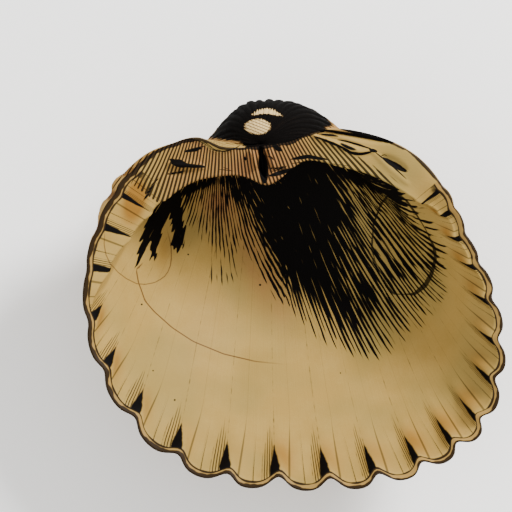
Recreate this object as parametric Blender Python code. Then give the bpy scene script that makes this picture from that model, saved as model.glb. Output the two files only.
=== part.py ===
"""One valve of a cockle, lying on its rounded back with its hollow side up.

The whole valve is one closed body. Its edge is a flat outline. As the outline
shrinks towards the beak and turns about the hinge line it sweeps the outer
face, and a smaller copy of the outline sweeps the inner face.

Shell axes, before the valve is laid down: origin at the tip of the beak,
+X to the hind end, +Y from the edge up to the hinge, +Z out of the hollow.
"""

import math

import bmesh
import bpy
import numpy as np
from mathutils import Matrix

MM = 0.001

# Outline of the edge at the floor of its notches: clockwise degrees from the
# hinge around the middle of the valve, and the distance from that middle in mm
MIDDLE = (4.15, -18.6)
OUTLINE = (
    (0, 19.1), (10, 20.6), (20, 21.3), (40, 22.3), (60, 21.8), (72, 21.7),
    (90, 23.3), (110, 25.3), (124, 26.0), (140, 24.6), (155, 22.8), (170, 21.5),
    (186, 21.1), (202, 22.2), (220, 23.2), (240, 23.9), (264, 24.8), (280, 25.1),
    (300, 24.8), (315, 24.4), (322, 23.6), (329, 22.5), (334, 20.3), (340, 19.3),
    (348, 18.8), (356, 18.8),
)

# Radial ribs: the notches between them in degrees, and how far a rib stands out
NOTCHES = (
    52, 59.5, 68.5, 78.5, 89.5, 101, 111.5, 122.5, 131.5, 142, 154.5,
    169, 185.5, 201.5, 217.5, 234, 250, 264, 278, 290, 300.5, 308,
)
RIB_HEIGHT = 1.5
RIB_PEAK_ANGLE = 172.0
RIB_SPREAD = 115.0
RIB_LEAST = 0.18
RIB_ROUNDNESS = 0.7

# Coil of the growing shell: shrink for each radian of turn, and the beak
SHRINK = 0.72
BEAK_TURN = 3.9
BEAK_SHRINK_FROM = 2.3
BEAK_SHRINK = 0.77
BEAK_DROP = 0.5
HINGE_DEPTH = 2.0
SIDE_DEPTH = 0.45

# Shoulders that swell past the edge beside the hinge: degrees, reach, swelling
SHOULDERS = ((310.0, 24.0, 0.19), (42.0, 22.0, 0.10))
SHOULDER_TURN = 0.35

# Roundness of the two ends: how much wider than the plain coil they swell
HIND_SWELL = 0.24
FRONT_SWELL = 0.14

# Hinge plate and inner rim: degrees, and the distance of the inner edge of the
# rim from the middle in mm, with its depth below the edge of the valve
EDGE_WALL = 0.8
PLATE_EDGE = (
    (0, 15.9), (5, 16.6), (18, 16.6), (28, 17.1), (41, 17.8), (51, 18.6),
    (61, 20.2), (72, 22.0), (90, 26.0), (180, 26.0), (255, 26.0), (266, 24.3),
    (275, 23.0), (282, 22.0), (290, 20.9), (298, 20.1), (307, 19.5), (320, 18.4),
    (327, 17.4), (336, 16.1), (345, 14.1), (352, 14.4),
)
PLATE_DEPTH = (
    (0, 0.6), (30, 0.6), (50, 1.0), (65, 0.7), (80, 0.3), (180, 0.3),
    (258, 0.3), (270, 0.5), (282, 0.9), (292, 1.1), (305, 1.0), (320, 0.7), (340, 0.6),
)

# Wall thickness inside the bowl, from the edge to under the beak
WALL_AT_EDGE = 0.8
WALL_UNDER_BEAK = 2.1
CAVITY_TURN = 1.75

# Ribs on the inside: their share of the height outside, and how far they reach in
FLUTE_SHARE = 0.9
FLUTE_TURN = 0.17

# The hind slope lies flat, so across it the wall is wider: degrees, reach, extra
HIND_SLOPE = (57.0, 26.0, 0.8)

# Hinge teeth on the plate: x, y, half length, half width, lean in degrees, height
TEETH = (
    (-1.25, -1.9, 1.3, 0.55, 80.0, 0.8),
    (1.35, -2.1, 1.5, 0.6, 68.0, 0.9),
    (0.0, -2.2, 1.6, 0.42, 90.0, -1.0),
    (-8.7, -2.9, 2.0, 0.5, 4.0, 0.7),
    (9.6, -0.2, 3.4, 0.7, -13.0, 0.5),
    (15.5, -2.6, 2.2, 0.5, -41.0, 0.7),
)

# How the valve lies: turns about X and then about Y, in degrees
REST_PITCH = 4.7
REST_ROLL = -2.0

SHELL_COLOUR = (0.62, 0.47, 0.27, 1.0)
SHELL_ROUGHNESS = 0.45

# Fineness of the mesh: columns over each rib and over each stretch of the hinge,
# rows on each face, and how much closer the rows lie near the edge
STEPS_PER_RIB = 4
HINGE_COLUMNS = ((308.0, 330.0, 9), (330.0, 375.0, 28), (375.0, 412.0, 12))
OUTER_ROWS = 20
RIM_ROWS = 5
INNER_ROWS = 9
OUTER_EASE = 1.33
INNER_EASE = 1.35

# Where the teeth end on the rim, as a part of its width
TEETH_END = 0.97


def clear_scene():
    """Start from an empty scene."""
    for thing in list(bpy.data.objects):
        bpy.data.objects.remove(thing, do_unlink=True)


def smooth_step(value):
    """Ease from 0 to 1."""
    clipped = np.clip(value, 0.0, 1.0)
    return clipped * clipped * (3.0 - 2.0 * clipped)


def around(stations, angles):
    """Smooth closed curve through (degrees, value) stations, read at angles."""
    degrees = np.array([station[0] for station in stations], dtype=float)
    values = np.array([station[1] for station in stations], dtype=float)
    degrees = np.concatenate([degrees[-2:] - 360.0, degrees, degrees[:3] + 360.0])
    values = np.concatenate([values[-2:], values, values[:3]])
    slopes = np.zeros_like(values)
    slopes[1:-1] = (values[2:] - values[:-2]) / (degrees[2:] - degrees[:-2])
    wrapped = np.mod(angles, 360.0)
    first = np.searchsorted(degrees, wrapped, side="right") - 1
    gap = degrees[first + 1] - degrees[first]
    t = (wrapped - degrees[first]) / gap
    start = values[first] * (1 + 2 * t) * (1 - t) ** 2 + slopes[first] * gap * t * (1 - t) ** 2
    end = values[first + 1] * t * t * (3 - 2 * t) + slopes[first + 1] * gap * t * t * (t - 1)
    return start + end


def column_angles():
    """Angles of the mesh columns: even over each rib, closer over the hinge."""
    angles = []
    for start, end in zip(NOTCHES[:-1], NOTCHES[1:]):
        angles.extend(np.linspace(start, end, STEPS_PER_RIB, endpoint=False))
    for start, end, count in HINGE_COLUMNS:
        angles.extend(np.linspace(start, end, count, endpoint=False))
    return np.mod(np.array(angles), 360.0)


def rib_profile(angles):
    """How far each angle stands out over the notch floor, from 0 to 1."""
    profile = np.zeros_like(angles)
    crest = 1.0 - math.exp(-1.0 / RIB_ROUNDNESS ** 2)
    for start, end in zip(NOTCHES[:-1], NOTCHES[1:]):
        inside = (angles >= start) & (angles <= end)
        lift = np.sin(np.pi * (angles[inside] - start) / (end - start))
        profile[inside] = (1.0 - np.exp(-(lift / RIB_ROUNDNESS) ** 2)) / crest
    return profile


def rib_height(angles):
    """Height of the ribs in mm: highest at the far edge, low beside the hinge."""
    offset = (angles - RIB_PEAK_ANGLE) * 90.0 / RIB_SPREAD
    swell = np.cos(np.radians(np.clip(offset, -90.0, 90.0)))
    return RIB_HEIGHT * np.maximum(swell, RIB_LEAST)


def shrink(turn):
    """Scale of the outline after a turn about the hinge line."""
    extra = np.maximum(turn - BEAK_SHRINK_FROM, 0.0)
    return np.exp(-SHRINK * turn - BEAK_SHRINK * extra ** 2)


def shoulder(angles, turn):
    """Swelling of the outline beside the hinge just behind the edge."""
    rise = turn / SHOULDER_TURN * np.exp(1.0 - turn / SHOULDER_TURN)
    swelling = np.zeros_like(angles)
    for centre, reach, amount in SHOULDERS:
        away = np.mod(angles - centre + 180.0, 360.0) - 180.0
        swelling += amount * np.exp(-(away / reach) ** 2)
    return 1.0 + swelling * rise


def end_swell(x, turn):
    """Swelling of the hind and front ends behind the edge."""
    hind = HIND_SWELL * math.sin(min(turn, math.pi)) ** 2
    front = FRONT_SWELL * max(math.sin(2.0 * min(turn, math.pi / 2.0)), 0.0)
    return 1.0 + np.where(x > 0.0, hind, front)


def swept(angles, radius, relief, turn):
    """Points of one loop: outline of the given radius, swept through a turn."""
    scale = shrink(turn)
    swell = shoulder(angles, turn)
    x = (MIDDLE[0] + radius * np.sin(np.radians(angles))) * swell
    y = (MIDDLE[1] + radius * np.cos(np.radians(angles))) * swell
    depth = 0.5 * (np.sqrt(y * y + HINGE_DEPTH ** 2 + (SIDE_DEPTH * x) ** 2) - y)
    drop = BEAK_DROP * (1.0 - scale) ** 2
    across = y * math.cos(turn) - relief * math.sin(turn)
    up = relief * math.cos(turn) - depth * math.sin(turn)
    along = scale * x * end_swell(x, turn)
    return np.stack([along, scale * across, scale * up - drop], axis=1)


def slope_factor(angles):
    """How much wider the wall is cut where it slopes flatly."""
    centre, reach, extra = HIND_SLOPE
    away = np.mod(angles - centre + 180.0, 360.0) - 180.0
    return 1.0 + extra * np.exp(-(away / reach) ** 2)


def teeth_relief(x, y):
    """Height of the hinge teeth and sockets over the plate."""
    height = np.zeros_like(x)
    for centre_x, centre_y, half_length, half_width, lean, lift in TEETH:
        along = (x - centre_x) * math.cos(math.radians(lean))
        along += (y - centre_y) * math.sin(math.radians(lean))
        across = (y - centre_y) * math.cos(math.radians(lean))
        across -= (x - centre_x) * math.sin(math.radians(lean))
        reach = (along / half_length) ** 2 + (across / half_width) ** 2
        height += lift * np.exp(-reach)
    return height


def valve_loops(angles):
    """All loops of the closed skin, from the beak over the edge into the cavity."""
    floor = around(OUTLINE, angles)
    ribs = rib_profile(angles) * rib_height(angles)
    widening = slope_factor(angles)
    plate = np.minimum(around(PLATE_EDGE, angles), floor - EDGE_WALL * widening)
    rim_inner = plate + FLUTE_SHARE * ribs
    rim_depth = around(PLATE_DEPTH, angles)
    loops = []
    for step in range(OUTER_ROWS, -1, -1):
        turn = BEAK_TURN * (step / OUTER_ROWS) ** OUTER_EASE
        loops.append(swept(angles, floor + ribs, np.zeros_like(angles), turn))
    for step in range(1, RIM_ROWS + 1):
        part = step / RIM_ROWS
        radius = floor + ribs + (rim_inner - floor - ribs) * part
        relief = -rim_depth * smooth_step(part)
        x = MIDDLE[0] + radius * np.sin(np.radians(angles))
        y = MIDDLE[1] + radius * np.cos(np.radians(angles))
        relief = relief + teeth_relief(x, y) * math.sin(math.pi * min(part, TEETH_END))
        loops.append(swept(angles, radius, relief, 0.0))
    for step in range(1, INNER_ROWS + 1):
        turn = CAVITY_TURN * (step / INNER_ROWS) ** INNER_EASE
        wall = WALL_AT_EDGE + (WALL_UNDER_BEAK - WALL_AT_EDGE) * turn / CAVITY_TURN
        fluted = 1.0 - smooth_step(turn / FLUTE_TURN)
        by_wall = floor - wall * widening / shrink(turn)
        radius = np.minimum(by_wall, plate) + FLUTE_SHARE * ribs * fluted
        loops.append(swept(angles, radius, -rim_depth, turn))
    return loops


def build_valve(name, material):
    """The closed skin of the valve as one mesh object, laid on its back."""
    angles = column_angles()
    loops = valve_loops(angles)
    tip = loops[0].mean(axis=0)
    cavity_end = loops[-1].mean(axis=0)
    mesh = bpy.data.meshes.new(name)
    skin = bmesh.new()
    rings = [[skin.verts.new(point * MM) for point in loop] for loop in loops]
    count = len(angles)
    for ring, following in zip(rings[:-1], rings[1:]):
        for column in range(count):
            beside = (column + 1) % count
            skin.faces.new((ring[column], ring[beside], following[beside], following[column]))
    for ring, point in ((rings[0], tip), (rings[-1], cavity_end)):
        pole = skin.verts.new(point * MM)
        for column in range(count):
            skin.faces.new((ring[column], ring[(column + 1) % count], pole))
    bmesh.ops.recalc_face_normals(skin, faces=skin.faces)
    skin.transform(Matrix.Rotation(math.radians(REST_PITCH), 4, "X"))
    skin.transform(Matrix.Rotation(math.radians(REST_ROLL), 4, "Y"))
    low = [min(vert.co[axis] for vert in skin.verts) for axis in range(3)]
    high = [max(vert.co[axis] for vert in skin.verts) for axis in range(3)]
    shift = (-(low[0] + high[0]) / 2, -(low[1] + high[1]) / 2, -low[2])
    skin.transform(Matrix.Translation(shift))
    skin.to_mesh(mesh)
    skin.free()
    mesh.materials.append(material)
    valve = bpy.data.objects.new(name, mesh)
    bpy.context.scene.collection.objects.link(valve)
    return valve


def shell_material():
    """Tan, slightly glossy shell."""
    material = bpy.data.materials.new("shell")
    material.use_nodes = True
    surface = material.node_tree.nodes["Principled BSDF"]
    surface.inputs["Base Color"].default_value = SHELL_COLOUR
    surface.inputs["Roughness"].default_value = SHELL_ROUGHNESS
    surface.inputs["Metallic"].default_value = 0.0
    return material


clear_scene()
build_valve("shell_valve", shell_material())
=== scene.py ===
# %% [markdown]
# One valve of a cockle
#
# A cockle's shell is two valves, and this is one of them, lying on its rounded
# back so that we look into the hollow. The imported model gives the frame: its
# size, its place and the surface that it lies on. Everything below grows a finer
# valve in that same place, then carves it, paints it and lights it.

import math

import bpy
import numpy as np
from mathutils import Matrix, Vector


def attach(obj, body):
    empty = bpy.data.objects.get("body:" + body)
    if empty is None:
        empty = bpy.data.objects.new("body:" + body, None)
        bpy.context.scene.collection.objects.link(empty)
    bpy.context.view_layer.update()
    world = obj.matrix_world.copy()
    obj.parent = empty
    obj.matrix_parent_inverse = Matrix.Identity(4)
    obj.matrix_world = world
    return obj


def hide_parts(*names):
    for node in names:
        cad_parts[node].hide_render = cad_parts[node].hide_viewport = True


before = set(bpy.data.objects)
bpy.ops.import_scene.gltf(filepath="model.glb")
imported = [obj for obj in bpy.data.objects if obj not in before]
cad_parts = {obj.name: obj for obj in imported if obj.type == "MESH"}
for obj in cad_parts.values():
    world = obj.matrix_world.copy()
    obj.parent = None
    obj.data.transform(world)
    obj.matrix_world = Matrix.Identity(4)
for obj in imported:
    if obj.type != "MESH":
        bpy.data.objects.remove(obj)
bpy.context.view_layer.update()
MM = 0.001

# %% [markdown]
# A shell grows by one simple rule. New shell is laid down along the edge only,
# and each new edge is a little larger than the last and turned a little about
# the hinge. So the whole outside is one outline, shrunk and turned step by step
# back to the beak. These are the measures of that outline and of its growth, in
# millimetres, with angles clockwise from the hinge around the middle.

# %% The outline of the edge and its ribs
MIDDLE = (4.15, -18.6)
OUTLINE = (
    (0, 19.1), (10, 20.6), (20, 21.3), (40, 22.3), (60, 21.8), (72, 21.7),
    (90, 23.3), (110, 25.3), (124, 26.0), (140, 24.6), (155, 22.8), (170, 21.5),
    (186, 21.1), (202, 22.2), (220, 23.2), (240, 23.9), (264, 24.8), (280, 25.1),
    (300, 24.8), (315, 24.4), (322, 23.6), (329, 22.5), (334, 20.3), (340, 19.3),
    (348, 18.8), (356, 18.8),
)
NOTCHES = (
    52, 59.5, 68.5, 78.5, 89.5, 101, 111.5, 122.5, 131.5, 142, 154.5,
    169, 185.5, 201.5, 217.5, 234, 250, 264, 278, 290, 300.5, 308,
)
RIB_HEIGHT = 1.5
RIB_PEAK_ANGLE = 172.0
RIB_SPREAD = 115.0
RIB_LEAST = 0.18
RIB_ROUNDNESS = 0.7

SHRINK = 0.72
BEAK_TURN = 3.9
BEAK_SHRINK_FROM = 2.3
BEAK_SHRINK = 0.77
BEAK_DROP = 0.5
HINGE_DEPTH = 2.0
SIDE_DEPTH = 0.45
SHOULDERS = ((310.0, 24.0, 0.19), (42.0, 22.0, 0.10))
SHOULDER_TURN = 0.35
HIND_SWELL = 0.24
FRONT_SWELL = 0.14
print(len(NOTCHES) - 1, "ribs between", len(NOTCHES), "notches")

# %% [markdown]
# The wall is thin at the edge and thick under the beak. Along the hinge the rim
# widens into a plate, which carries the teeth, and its lower edge hangs over the
# hollow in two arches.

# %% The rim, the hinge plate and the wall
EDGE_WALL = 0.8
PLATE_EDGE = (
    (0, 15.9), (5, 16.6), (18, 16.6), (28, 17.1), (41, 17.8), (51, 18.6),
    (61, 20.2), (72, 22.0), (90, 26.0), (180, 26.0), (255, 26.0), (266, 24.3),
    (275, 23.0), (282, 22.0), (290, 20.9), (298, 20.1), (307, 19.5), (320, 18.4),
    (327, 17.4), (336, 16.1), (345, 14.1), (352, 14.4),
)
PLATE_DEPTH = (
    (0, 0.6), (30, 0.6), (50, 1.0), (65, 0.7), (80, 0.3), (180, 0.3),
    (258, 0.3), (270, 0.5), (282, 0.9), (292, 1.1), (305, 1.0), (320, 0.7), (340, 0.6),
)
WALL_AT_EDGE = 0.8
WALL_UNDER_BEAK = 2.1
CAVITY_TURN = 1.75
FLUTE_TURN = 0.17
FLUTE_SHARE = 0.9
HIND_SLOPE = (57.0, 26.0, 0.8)

# %% [markdown]
# A few small helpers do the curve work. The first eases a number from 0 to 1,
# the second reads a smooth closed curve through a handful of stations, and the
# third says how near an angle is to a place on the outline.

# %% Helpers for curves around the valve
def smooth_step(value):
    """Ease from 0 to 1."""
    clipped = np.clip(value, 0.0, 1.0)
    return clipped * clipped * (3.0 - 2.0 * clipped)


def around(stations, angles):
    """Smooth closed curve through (degrees, value) stations, read at angles."""
    degrees = np.array([station[0] for station in stations], dtype=float)
    values = np.array([station[1] for station in stations], dtype=float)
    degrees = np.concatenate([degrees[-2:] - 360.0, degrees, degrees[:3] + 360.0])
    values = np.concatenate([values[-2:], values, values[:3]])
    slopes = np.zeros_like(values)
    slopes[1:-1] = (values[2:] - values[:-2]) / (degrees[2:] - degrees[:-2])
    wrapped = np.mod(angles, 360.0)
    first = np.searchsorted(degrees, wrapped, side="right") - 1
    gap = degrees[first + 1] - degrees[first]
    t = (wrapped - degrees[first]) / gap
    start = values[first] * (1 + 2 * t) * (1 - t) ** 2 + slopes[first] * gap * t * (1 - t) ** 2
    end = values[first + 1] * t * t * (3 - 2 * t) + slopes[first + 1] * gap * t * t * (t - 1)
    return start + end


def near_angle(angles, centre, reach):
    """1 at an angle of the outline, fading to 0 beyond the reach in degrees."""
    away = np.mod(angles - centre + 180.0, 360.0) - 180.0
    return np.exp(-(away / reach) ** 2)


print("edge at the hind end:", round(float(around(OUTLINE, 90.0)), 1), "mm from the middle")

# %% [markdown]
# The mesh is a net of columns and rows. Each column is one angle of the outline,
# and it runs from the beak down the outside, over the rim and up the inside. The
# hinge gets the closest columns, because the teeth are the smallest forms.

# %% Columns and rows of the net
RIB_COLUMNS = 17
HINGE_COLUMNS = 236
OUTER_ROWS = 88
RIM_ROWS = 22
INNER_ROWS = 56
OUTER_EASE = 1.33
INNER_EASE = 1.25

columns = []
for start, end in zip(NOTCHES[:-1], NOTCHES[1:]):
    columns.extend(np.linspace(start, end, RIB_COLUMNS, endpoint=False))
columns.extend(np.linspace(NOTCHES[-1], NOTCHES[0] + 360.0, HINGE_COLUMNS, endpoint=False))
columns = np.array(columns)
angles = np.mod(columns, 360.0)
print(len(columns), "columns,", OUTER_ROWS + RIM_ROWS + INNER_ROWS + 1, "rows")

# %% [markdown]
# Ribs are the same all the way along, so one profile across a rib is enough: a
# broad rounded back and a narrow notch. The ribs are highest at the far edge
# and nearly vanish beside the hinge.

# %% Rib profile
rib_share = np.zeros_like(angles)
across_rib = np.zeros_like(angles)
crest = 1.0 - math.exp(-1.0 / RIB_ROUNDNESS ** 2)
for start, end in zip(NOTCHES[:-1], NOTCHES[1:]):
    inside = (angles >= start) & (angles <= end)
    across_rib[inside] = (angles[inside] - start) / (end - start)
    lift = np.sin(np.pi * across_rib[inside])
    rib_share[inside] = (1.0 - np.exp(-(lift / RIB_ROUNDNESS) ** 2)) / crest
offset = (angles - RIB_PEAK_ANGLE) * 90.0 / RIB_SPREAD
rib_swell = np.cos(np.radians(np.clip(offset, -90.0, 90.0)))
ribs = rib_share * RIB_HEIGHT * np.maximum(rib_swell, RIB_LEAST)
print("highest rib", round(float(ribs.max()), 2), "mm")

# %% [markdown]
# Now every point of the net gets four numbers: its angle, its distance from the
# middle, its turn about the hinge line, and how far it stands over the flat of
# the edge. The growth rule needs nothing else.

# %% Stations of the whole skin
floor = around(OUTLINE, angles)
widening = 1.0 + HIND_SLOPE[2] * near_angle(angles, HIND_SLOPE[0], HIND_SLOPE[1])
plate = np.minimum(around(PLATE_EDGE, angles), floor - EDGE_WALL * widening)
rim_inner = plate + FLUTE_SHARE * ribs
rim_depth = around(PLATE_DEPTH, angles)
rim_width = floor + ribs - rim_inner
EDGE_ROUND = 0.22
EDGE_FALL = 0.14
RIM_EASE = 1.25

rows = []
for step in range(OUTER_ROWS, -1, -1):
    turn = BEAK_TURN * (step / OUTER_ROWS) ** OUTER_EASE
    lip = EDGE_FALL * (1.0 - smooth_step(turn / 0.012))
    rows.append(("outer", floor + ribs, np.full_like(angles, turn), -lip + 0.0 * angles))
for step in range(1, RIM_ROWS + 1):
    part = step / RIM_ROWS
    inward = rim_width * part ** RIM_EASE
    fall = EDGE_FALL * (1.0 - smooth_step(inward / EDGE_ROUND))
    relief = -rim_depth * smooth_step(inward / rim_width) - fall
    rows.append(("rim", floor + ribs - inward, np.zeros_like(angles), relief))
for step in range(1, INNER_ROWS + 1):
    turn = CAVITY_TURN * (step / INNER_ROWS) ** INNER_EASE
    wall = WALL_AT_EDGE + (WALL_UNDER_BEAK - WALL_AT_EDGE) * turn / CAVITY_TURN
    fluted = 1.0 - smooth_step(turn / FLUTE_TURN)
    shrunk = math.exp(-SHRINK * turn)
    radius = np.minimum(floor - wall * widening / shrunk, plate) + FLUTE_SHARE * ribs * fluted
    rows.append(("inner", radius, np.full_like(angles, turn), -rim_depth))
row_kind = [row[0] for row in rows]
radius_net = np.array([row[1] for row in rows])
turn_net = np.array([row[2] for row in rows])
relief_net = np.array([row[3] for row in rows])
swelling = sum(amount * near_angle(angles, centre, reach) for centre, reach, amount in SHOULDERS)
print("net of", radius_net.shape, "points")

# %% [markdown]
# The net becomes a mesh with one more point at each end, where all the columns
# meet, so that the skin is closed. The four numbers ride along as attributes,
# and a UV map lays the skin out flat: angle across, growth upward.

# %% The seed mesh
ROWS, COLUMNS = radius_net.shape


def seed_mesh(name):
    """The net as a closed mesh, not yet in shape."""
    faces = []
    for row in range(ROWS - 1):
        for column in range(COLUMNS):
            beside = (column + 1) % COLUMNS
            here, above = row * COLUMNS, (row + 1) * COLUMNS
            faces.append((here + column, here + beside, above + beside, above + column))
    tip, end = ROWS * COLUMNS, ROWS * COLUMNS + 1
    last = (ROWS - 1) * COLUMNS
    for column in range(COLUMNS):
        beside = (column + 1) % COLUMNS
        faces.append((tip, beside, column))
        faces.append((last + column, last + beside, end))
    made = bpy.data.meshes.new(name)
    made.from_pydata([(0.0, 0.0, 0.0)] * (ROWS * COLUMNS + 2), [], faces)
    return made


def with_poles(net, first, last):
    """A net of numbers as one list, with the values of the two end points."""
    return np.concatenate([np.asarray(net, dtype=float).ravel(), [first, last]])


def every_row(values, first=0.0, last=0.0):
    """One number for each column, alike in all rows, with the two end points."""
    return with_poles(np.tile(values, (ROWS, 1)), first, last)


def write_attribute(mesh, name, values):
    """Keep one number for each point of a mesh."""
    layer = mesh.attributes.new(name, "FLOAT", "POINT")
    layer.data.foreach_set("value", np.asarray(values, dtype=np.float32))


seed = seed_mesh("valve_seed")
write_attribute(seed, "angle", every_row(np.radians(angles)))
write_attribute(seed, "radius", with_poles(radius_net * MM, MIDDLE[1] * -MM, 0.0))
write_attribute(seed, "turn", with_poles(turn_net, BEAK_TURN, CAVITY_TURN))
write_attribute(seed, "relief", with_poles(relief_net * MM, 0.0, 0.0))
write_attribute(seed, "swelling", every_row(swelling))
print(len(seed.vertices), "points,", len(seed.polygons), "faces")

# %% [markdown]
# The growth rule itself is a Geometry Nodes tree, because the valve follows one
# rule everywhere, and its sizes are then sliders that you can pull on. Writing
# a formula as Math nodes one by one is slow to read. This helper class stands
# for a number that flows through a tree: a plus or a times between two of them
# adds the node and its links.

# %% Numbers that flow through a node tree
class Flow:
    """A number in a node tree. Arithmetic with it adds Math nodes."""

    def __init__(self, tree, socket):
        self.tree = tree
        self.socket = socket

    def math(self, operation, *terms):
        """Add a Math node that starts from this number."""
        node = self.tree.nodes.new("ShaderNodeMath")
        node.operation = operation
        for slot, term in zip(node.inputs, (self, *terms)):
            if isinstance(term, Flow):
                self.tree.links.new(term.socket, slot)
            else:
                slot.default_value = term
        return Flow(self.tree, node.outputs[0])

    def __add__(self, other):
        return self.math("ADD", other)

    def __sub__(self, other):
        return self.math("SUBTRACT", other)

    def __mul__(self, other):
        return self.math("MULTIPLY", other)

    def __truediv__(self, other):
        return self.math("DIVIDE", other)

    def __radd__(self, other):
        return self.math("ADD", other)

    def __rmul__(self, other):
        return self.math("MULTIPLY", other)

    def __rsub__(self, other):
        return (self * -1.0).math("ADD", other)

    def ease(self, low, high):
        """0 below low, 1 above high, and a smooth rise between them."""
        node = self.tree.nodes.new("ShaderNodeMapRange")
        node.interpolation_type = "SMOOTHSTEP"
        self.tree.links.new(self.socket, node.inputs["Value"])
        node.inputs["From Min"].default_value = low
        node.inputs["From Max"].default_value = high
        return Flow(self.tree, node.outputs["Result"])


print("node arithmetic is ready")

# %% [markdown]
# Each growth measure is an input of the tree. Inside, the outline is turned
# about the hinge line and shrunk, the ends swell a little behind the edge, and
# the result is set as the position of every point.

# %% The growth tree
GROWTH_MEASURES = {
    "Shrink per Turn": SHRINK,
    "Beak Shrink": BEAK_SHRINK,
    "Beak Shrink From": BEAK_SHRINK_FROM,
    "Beak Drop": BEAK_DROP * MM,
    "Hinge Depth": HINGE_DEPTH * MM,
    "Side Depth": SIDE_DEPTH,
    "Shoulder Turn": SHOULDER_TURN,
    "Hind Swell": HIND_SWELL,
    "Front Swell": FRONT_SWELL,
    "Middle X": MIDDLE[0] * MM,
    "Middle Y": MIDDLE[1] * MM,
}


def growth_tree(measures):
    """A node tree that grows the seed net into the valve."""
    tree = bpy.data.node_groups.new("grow_valve", "GeometryNodeTree")
    tree.interface.new_socket("Geometry", in_out="INPUT", socket_type="NodeSocketGeometry")
    tree.interface.new_socket("Geometry", in_out="OUTPUT", socket_type="NodeSocketGeometry")
    for name in measures:
        tree.interface.new_socket(name, in_out="INPUT", socket_type="NodeSocketFloat")
    tree.interface.new_socket("Material", in_out="INPUT", socket_type="NodeSocketMaterial")
    group_in = tree.nodes.new("NodeGroupInput")
    group_out = tree.nodes.new("NodeGroupOutput")
    size = {name: Flow(tree, group_in.outputs[name]) for name in measures}

    def attribute(name):
        node = tree.nodes.new("GeometryNodeInputNamedAttribute")
        node.data_type = "FLOAT"
        node.inputs["Name"].default_value = name
        return Flow(tree, node.outputs["Attribute"])

    angle, radius, turn = attribute("angle"), attribute("radius"), attribute("turn")
    relief, swelling_here = attribute("relief"), attribute("swelling")
    beak = (turn - size["Beak Shrink From"]).math("MAXIMUM", 0.0)
    slow = size["Shrink per Turn"] * turn + size["Beak Shrink"] * beak * beak
    scale = (slow * -1.0).math("EXPONENT")
    rise = turn / size["Shoulder Turn"]
    swell = swelling_here * rise * (1.0 - rise).math("EXPONENT") + 1.0
    x = (size["Middle X"] + radius * angle.math("SINE")) * swell
    y = (size["Middle Y"] + radius * angle.math("COSINE")) * swell
    side = size["Side Depth"] * x
    hinge = size["Hinge Depth"]
    depth = ((y * y + hinge * hinge + side * side).math("SQRT") - y) * 0.5
    drop = size["Beak Drop"] * (1.0 - scale) * (1.0 - scale)
    sine, cosine = turn.math("SINE"), turn.math("COSINE")
    half_turn = turn.math("MINIMUM", math.pi).math("SINE")
    hind = size["Hind Swell"] * half_turn * half_turn
    quarter = (turn.math("MINIMUM", math.pi / 2.0) * 2.0).math("SINE").math("MAXIMUM", 0.0)
    front = size["Front Swell"] * quarter
    is_hind = x.math("GREATER_THAN", 0.0)
    end_swell = front + (hind - front) * is_hind + 1.0
    place = tree.nodes.new("ShaderNodeCombineXYZ")
    tree.links.new((scale * x * end_swell).socket, place.inputs["X"])
    tree.links.new((scale * (y * cosine - relief * sine)).socket, place.inputs["Y"])
    tree.links.new((scale * (relief * cosine - depth * sine) - drop).socket, place.inputs["Z"])
    set_place = tree.nodes.new("GeometryNodeSetPosition")
    realize = tree.nodes.new("GeometryNodeRealizeInstances")
    paint = tree.nodes.new("GeometryNodeSetMaterial")
    tree.links.new(group_in.outputs["Geometry"], set_place.inputs["Geometry"])
    tree.links.new(place.outputs[0], set_place.inputs["Position"])
    tree.links.new(set_place.outputs["Geometry"], realize.inputs["Geometry"])
    tree.links.new(realize.outputs["Geometry"], paint.inputs["Geometry"])
    tree.links.new(group_in.outputs["Material"], paint.inputs["Material"])
    tree.links.new(paint.outputs["Geometry"], group_out.inputs["Geometry"])
    return tree


shell_look = bpy.data.materials.new("cockle_shell")
growth = growth_tree(GROWTH_MEASURES)
print(len(growth.nodes), "nodes in the growth tree")

# %% [markdown]
# The seed gets the tree as a modifier. Its inputs are set by their identifiers
# before anything is evaluated, then the grown shape is kept as a plain mesh.

# %% Grow the valve
def grow(mesh, tree, values, material):
    """Run the growth tree on a seed mesh and return the grown mesh."""
    seedling = bpy.data.objects.new("valve_seedling", mesh)
    bpy.context.scene.collection.objects.link(seedling)
    modifier = seedling.modifiers.new("growth", "NODES")
    modifier.node_group = tree
    for item in tree.interface.items_tree:
        if item.in_out == "INPUT" and item.name in values:
            modifier[item.identifier] = float(values[item.name])
        if item.in_out == "INPUT" and item.name == "Material":
            modifier[item.identifier] = material
    graph = bpy.context.evaluated_depsgraph_get()
    grown = bpy.data.meshes.new_from_object(seedling.evaluated_get(graph))
    bpy.data.objects.remove(seedling, do_unlink=True)
    bpy.data.meshes.remove(mesh)
    return grown


valve_mesh = grow(seed, growth, GROWTH_MEASURES, shell_look)
valve_mesh.name = "valve"


def read_points(mesh):
    """All points of a mesh, in millimetres."""
    flat = np.empty(len(mesh.vertices) * 3)
    mesh.vertices.foreach_get("co", flat)
    return flat.reshape(-1, 3) / MM


points = read_points(valve_mesh)
points[-2] = points[:COLUMNS].mean(axis=0)
points[-1] = points[-COLUMNS - 2:-2].mean(axis=0)
print("grown size in mm:", np.round(points.max(axis=0) - points.min(axis=0), 2))

# %% [markdown]
# Now the small forms are carved. Each is a height over the grown skin: a ridge
# along a line, a hollow, or a step. They are described in the plane of the edge,
# with x to the hind end and y to the hinge, because that is how you look at them.

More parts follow.
